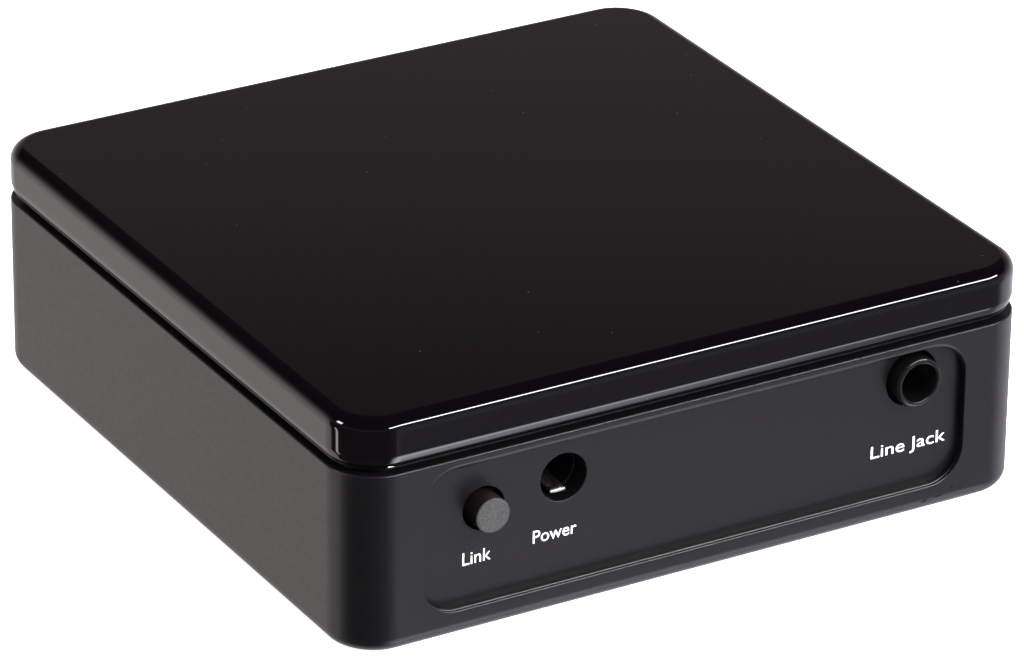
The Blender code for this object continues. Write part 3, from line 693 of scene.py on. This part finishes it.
def make_dc_jack():
    """The power socket: its bore, and the slot along the bottom for the sleeve spring."""
    x, z = DC_AXIS
    body = link("dc_jack_shell", box(DC_LOW, DC_HIGH, 0.3 * MM, 3))
    bore_end = DC_HIGH.y - 1.6 * MM - DC_LOW.y
    radius, mouth = 2.3 * MM, 0.15 * MM
    curve = arc((radius + mouth, -mouth), mouth, 180, 100, 5)
    profile = [(0, -bore_end), (radius, -bore_end)] + curve + [(curve[-1][0], 1 * MM), (0, 1 * MM)]
    carve(body, placed(turned(profile), TO_PORTS, (x, DC_LOW.y, z)))
    slot_low = (x - 1.1 * MM, DC_LOW.y - 1 * MM, BOARD_TOP)
    carve(body, box(slot_low, (x + 1.1 * MM, DC_LOW.y + bore_end, z)))
    pin_hole = turned([(0, -12 * MM), (0.95 * MM, -12 * MM), (0.95 * MM, -7 * MM), (0, -7 * MM)], 32)
    carve(body, placed(pin_hole, TO_PORTS, (x, DC_LOW.y, z)))
    return dress(smooth(body), JACK, "case", "jack_plastic", "dc_jack_body")


# The leaf's middle line in millimetres: distance in from the socket's face, height above the board
LEAF_CURL = ((-1.12, 3.24), (-1.1, 3.34), (-1.02, 3.44), (-0.88, 3.5), (-0.6, 3.51))
LEAF_RUN = ((0.1, 3.45), (1.6, 3.6), (3.2, 3.75), (5.2, 3.35), (7.4, 2.7))
LEAF_TAIL = ((8.15, 2.35), (8.33, 2.2), (8.35, 0.5))


def make_dc_spring():
    """The leaf along the bottom of the power socket, curled down at its front to guide the plug."""
    x = DC_AXIS[0]
    route = LEAF_CURL + LEAF_RUN + LEAF_TAIL
    rings = []
    for i, (along, up) in enumerate(route):
        before, after = route[max(i - 1, 0)], route[min(i + 1, len(route) - 1)]
        lean = Vector((before[1] - after[1], after[0] - before[0])).normalized()
        ring = []
        for side in (1, -1):
            for share in (-1, -0.85, -0.4, 0, 0.4, 0.85, 1):
                lift = side * 0.1 + 0.1 * (1 - share**2) * (abs(share) < 1)
                y = DC_LOW.y + (along + lean.x * lift) * MM
                ring.append((x + side * share * 0.8 * MM, y, BOARD_TOP + (up + lean.y * lift) * MM))
        rings.append(ring)
    leaf = link("dc_spring_leaf", loft(rings))
    dress(smooth(leaf), LEAF, "case", "spring_metal", "dc_sleeve_spring")


def make_feet():
    for i, (x, y) in enumerate(middles("rubber_foot", 4), 1):
        low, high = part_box(f"rubber_foot_{i}")
        r, edge = (high.x - low.x) / 2, 0.35 * MM
        profile = [(0, low.z), (0.82 * r, low.z), (0.85 * r, low.z + 0.03 * MM)]
        profile += arc((r - edge, low.z + edge), edge, 280, 360, 6)
        profile += [(r, high.z), (0, high.z)]
        foot = link(f"foot_pad_{i}", placed(turned(profile), at=(x, y, 0)))
        dress(smooth(foot), RUBBER, "case", "foot_rubber", f"rubber_foot_{i}")


def make_light_pipe():
    """A clear rod with a shallow dome that stands level with the rear face."""
    low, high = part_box("status_light_pipe")
    z = (low.z + high.z) / 2
    r = 1.0 * MM
    profile = [(0, high.y - CASE_HALF), (0.5 * r, -0.06 * MM), (0.9 * r, -0.14 * MM), (r, -0.2 * MM)]
    profile += [
        (r, -2.6 * MM),
        (1.9 * MM, -2.6 * MM),
        (1.9 * MM, -3.5 * MM),
        (r, -3.5 * MM),
        (r, low.y - CASE_HALF),
        (0, low.y - CASE_HALF),
    ]
    pipe = link("light_pipe_lens", placed(turned(profile, 48), TO_REAR, (0, CASE_HALF, z)))
    dress(smooth(pipe), LENS, "case", "light_pipe_clear", "status_light_pipe")


def make_label():
    low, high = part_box("rating_label")
    edge = 0.05 * MM
    rings = [
        square_ring(low.x + i, high.x - i, low.y + i, high.y - i, 1.2 * MM - i, z, 8)
        for i, z in ((edge, low.z), (0, low.z + edge), (0, high.z))
    ]
    dress(smooth(link("label_plate", loft(rings))), LABEL, "case", "label_film", "rating_label")


def make_legend(name, words, left, base, width, height):
    """White printed words on the panel, fitted to a width and a capital height."""
    curve = bpy.data.curves.new(name, "FONT")
    curve.body = words
    curve.size = 1.0
    text = bpy.data.objects.new(name, curve)
    bpy.context.scene.collection.objects.link(text)
    bpy.context.view_layer.update()
    mesh = bpy.data.meshes.new_from_object(text.evaluated_get(bpy.context.evaluated_depsgraph_get()))
    bpy.data.objects.remove(text)
    xs = [v.co.x for v in mesh.vertices]
    font_capital = 0.73
    scale = Matrix.Diagonal((width / (max(xs) - min(xs)), height / font_capital, 1, 1))
    mesh.transform(scale @ Matrix.Translation((-min(xs), 0, 0)))
    mesh.transform(Matrix.Translation((left, PANEL_Y - 0.012 * MM, base)) @ TO_PORTS)
    obj = bpy.data.objects.new(name, mesh)
    bpy.context.scene.collection.objects.link(obj)
    skin = obj.modifiers.new("ink_film", "SOLIDIFY")
    skin.thickness = 0.01 * MM
    skin.offset = 0
    return dress(obj, INK, "case", None)


def make_legends():
    height = 1.36 * MM
    make_legend("legend_link", "Link", -24.6 * MM, CASE_BASE + 6.71 * MM, 2.95 * MM, height)
    make_legend("legend_power", "Power", -17.22 * MM, CASE_BASE + 7.11 * MM, 4.6 * MM, height)
    make_legend("legend_line_jack", "Line Jack", 19.4 * MM, CASE_BASE + 6.72 * MM, 8.33 * MM, height)


def paint(material, *nodes):
    for name in nodes:
        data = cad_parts[name].data
        data.materials.clear()
        data.materials.append(material)


def paint_inner_parts():
    numbered = lambda name, count: [f"{name}_{i}" for i in range(1, count + 1)]
    paint(STEEL, *numbered("housing_screw", 4), *numbered("board_screw", 3))
    paint(SPRING, "jack_tip_spring", "jack_ring_spring", "jack_sleeve_contact")
    paint(SPRING, "pair_switch_dome", *numbered("pair_switch_terminal", 2))
    paint(BRASS, "dc_centre_pin")
    paint(CAN, "module_shield", "crystal_oscillator", "pair_switch_frame")
    paint(CAN, *numbered("electrolytic_capacitor", 3))
    paint(BOARD, "circuit_board", "bluetooth_module")
    paint(CHIP, "audio_dac_chip", "voltage_regulator", "power_inductor", "pair_switch_body")
    paint(CERAMIC, "chip_antenna", *numbered("chip_capacitor", 4))
    paint(LED, "status_led")


# ------------------------------------------------------------------ studio

CAMERA_TARGET = Vector((0.81 * MM, -0.47 * MM, 10.5 * MM))
CAMERA_DISTANCE = 610.0 * MM
CAMERA_AZIMUTH = -30.23
CAMERA_ELEVATION = 25.9
CAMERA_ROLL = 0.63
CAMERA_LENS = 222.1


def make_camera():
    """Far off with a long lens, to the left of the port face and above it."""
    azimuth, elevation = math.radians(CAMERA_AZIMUTH), math.radians(CAMERA_ELEVATION)
    back = Vector(
        (
            math.sin(azimuth) * math.cos(elevation),
            -math.cos(azimuth) * math.cos(elevation),
            math.sin(elevation),
        )
    )
    data = bpy.data.cameras.new("camera")
    data.lens = CAMERA_LENS
    data.sensor_width = 36.0
    data.clip_start, data.clip_end = 0.01, 100.0
    camera = bpy.data.objects.new("camera", data)
    camera.location = CAMERA_TARGET + back * CAMERA_DISTANCE
    roll = Matrix.Rotation(math.radians(CAMERA_ROLL), 3, "Z")
    camera.rotation_euler = ((-back).to_track_quat("-Z", "Y").to_matrix() @ roll).to_euler()
    bpy.context.scene.collection.objects.link(camera)
    bpy.context.scene.camera = camera


def from_angles(azimuth, elevation, distance):
    """A point round the object: azimuth is counted from +X towards +Y, in degrees."""
    a, e = math.radians(azimuth), math.radians(elevation)
    return Vector((math.cos(a) * math.cos(e), math.sin(a) * math.cos(e), math.sin(e))) * distance


def softbox(name, azimuth, elevation, distance, size, radiance, glossy=True):
    """A rectangular light that looks at the object, with a given brightness of its face."""
    data = bpy.data.lights.new(name, "AREA")
    data.shape = "RECTANGLE"
    data.size, data.size_y = size
    data.energy = radiance * math.pi * size[0] * size[1]
    light = bpy.data.objects.new(name, data)
    light.location = from_angles(azimuth, elevation, distance)
    light.rotation_euler = light.location.to_track_quat("Z", "Y").to_euler()
    light.visible_glossy = glossy
    light.visible_camera = False
    bpy.context.scene.collection.objects.link(light)


class Surround:
    """What glossy faces mirror, painted patch over patch by direction alone."""

    def __init__(self, tree, brightness):
        self.tree = tree
        direction = tree.nodes.new("ShaderNodeTexCoord").outputs["Generated"]
        parts = tree.nodes.new("ShaderNodeSeparateXYZ")
        tree.links.new(direction, parts.inputs[0])
        self.height = parts.outputs["Z"]
        turn = self.maths("ARCTAN2", parts.outputs["Y"], parts.outputs["X"])
        degrees = self.maths("MULTIPLY", turn, math.degrees(1))
        self.azimuth = self.maths("FLOORED_MODULO", degrees, 360.0)
        self.value = brightness

    def maths(self, operation, a, b):
        node = self.tree.nodes.new("ShaderNodeMath")
        node.operation = operation
        for socket, given in zip(node.inputs, (a, b)):
            if hasattr(given, "is_linked"):
                self.tree.links.new(given, socket)
            else:
                socket.default_value = given
        return node.outputs[0]

    def ramp(self, value, start, end, to_start=0.0, to_end=1.0):
        node = self.tree.nodes.new("ShaderNodeMapRange")
        node.interpolation_type = "SMOOTHSTEP"
        self.tree.links.new(value, node.inputs["Value"])
        numbers = {"From Min": start, "From Max": end, "To Min": to_start, "To Max": to_end}
        for name, number in numbers.items():
            node.inputs[name].default_value = number
        return node.outputs["Result"]

    def paint(self, brightness, azimuths=None, low=None, high=None):
        """Lays a brightness over a patch; each edge is the pair of angles between which it fades.

        Azimuths run from +X towards +Y, elevations from the horizon up, all in degrees.
        """
        masks = []
        if azimuths:
            masks += [self.ramp(self.azimuth, *azimuths[0]), self.ramp(self.azimuth, *reversed(azimuths[1]))]
        if low:
            masks.append(self.ramp(self.height, *[math.sin(math.radians(e)) for e in low]))
        if high:
            masks.append(self.ramp(self.height, *[math.sin(math.radians(e)) for e in reversed(high)]))
        mask = masks[0]
        for other in masks[1:]:
            mask = self.maths("MULTIPLY", mask, other)
        change = self.maths("SUBTRACT", brightness, self.value)
        self.value = self.maths("ADD", self.value, self.maths("MULTIPLY", change, mask))


def make_world():
    world = bpy.data.worlds.new("studio")
    world.use_nodes = True
    bpy.context.scene.world = world
    world.cycles_visibility.diffuse = False
    world.cycles_visibility.camera = False
    tree = world.node_tree
    surround = Surround(tree, 0.025)
    # A faint glow high up behind, and pale paper low down all round that fades out overhead
    surround.paint(0.17, ((-10, -5), (95, 125)), high=(22, 29))
    surround.paint(1.3, high=(-16, 26))
    # The paper is a little greyer on the left
    surround.paint(1.07, ((70, 90), (150, 160)), high=(-12, 0))
    surround.paint(0.8, ((84, 92), (120, 128)), high=(-34, -28))
    # The corner towards the camera is dark, and so is the far part of the front
    surround.paint(0.06, ((139.5, 146), (286, 296)), high=(5, 20))
    surround.paint(0.25, ((272, 302), (325, 350)), high=(2, 20))
    # A dimmer sheet in front, level with the object
    surround.paint(0.42, ((274, 306), (325, 350)), low=(-24, -14), high=(0, 10))
    # Bright paper close in front of the object
    near = surround.ramp(surround.azimuth, 312.8, 315.2, 5.6, 2.85)
    near = surround.maths("MULTIPLY", near, surround.ramp(surround.azimuth, 314, 321, 1.0, 0.24))
    surround.paint(near, ((284, 304), (335, 350)), low=(-66, -58), high=(-46, -31))
    # Two narrow lamps to the left
    surround.paint(4.5, ((155, 157), (161, 163)), low=(-40, -38), high=(-16, -12))
    surround.paint(20.0, ((154, 156), (168, 170)), low=(20, 23), high=(31, 34))
    background = tree.nodes["Background"]
    tree.links.new(surround.value, background.inputs["Strength"])
    edges = [surround.ramp(surround.azimuth, *edge) for edge in ((20, 60), (190, 150))]
    left = surround.maths("MULTIPLY", *edges)
    tint = tree.nodes.new("ShaderNodeMix")
    tint.data_type = "RGBA"
    tint.inputs[6].default_value = (1.0, 0.965, 1.09, 1)
    tint.inputs[7].default_value = (1.05, 0.985, 0.97, 1)
    tree.links.new(left, tint.inputs["Factor"])
    tree.links.new(tint.outputs[2], background.inputs["Color"])


def make_stage():
    """A wide pale floor, and a white shell behind everything that only the camera sees."""
    floor = link("studio_floor", box((-4, -4, -0.02), (4, 4, 0)))
    look = Look("studio_paper", (0.9, 0.9, 0.9), 0.9)
    look.set("Roughness", look.ranged(look.noise(300.0, 2.0), 0.3, 0.7, 0.85, 0.95))
    look.set("Emission Color", (1, 1, 1, 1))
    look.set("Emission Strength", 0.95)
    floor.data.materials.append(look.material)
    floor.visible_glossy = False
    shell = link("studio_backdrop", turned([(0, -9.0)] + arc((0, 0), 9.0, -89, 89, 24) + [(0, 9.0)], 48))
    glow = bpy.data.materials.new("studio_white")
    glow.use_nodes = True
    shader = glow.node_tree.nodes["Principled BSDF"]
    shader.inputs["Base Color"].default_value = (0, 0, 0, 1)
    shader.inputs["Emission Color"].default_value = (1, 1, 1, 1)
    shader.inputs["Emission Strength"].default_value = 1.0
    shell.data.materials.append(glow)
    shell.visible_glossy = False
    shell.visible_diffuse = False
    shell.visible_shadow = False
    shell.visible_transmission = False


def make_lights():
    softbox("overhead", 300, 75, 2.2, (3.4, 3.4), 4.2, glossy=False)
    softbox("fill", 250, 20, 2.0, (1.6, 1.2), 2.2, glossy=False)
    softbox("front_strip", 301, 30.4, 1.2, (1.15, 0.11), 42.0)


make_camera()
make_cover()
make_housing()
make_button()
make_audio_jack()
make_dc_jack()
make_dc_spring()
make_feet()
make_light_pipe()
make_label()
make_legends()
paint_inner_parts()
make_world()
make_stage()
make_lights()
bpy.context.scene.view_settings.view_transform = "Standard"
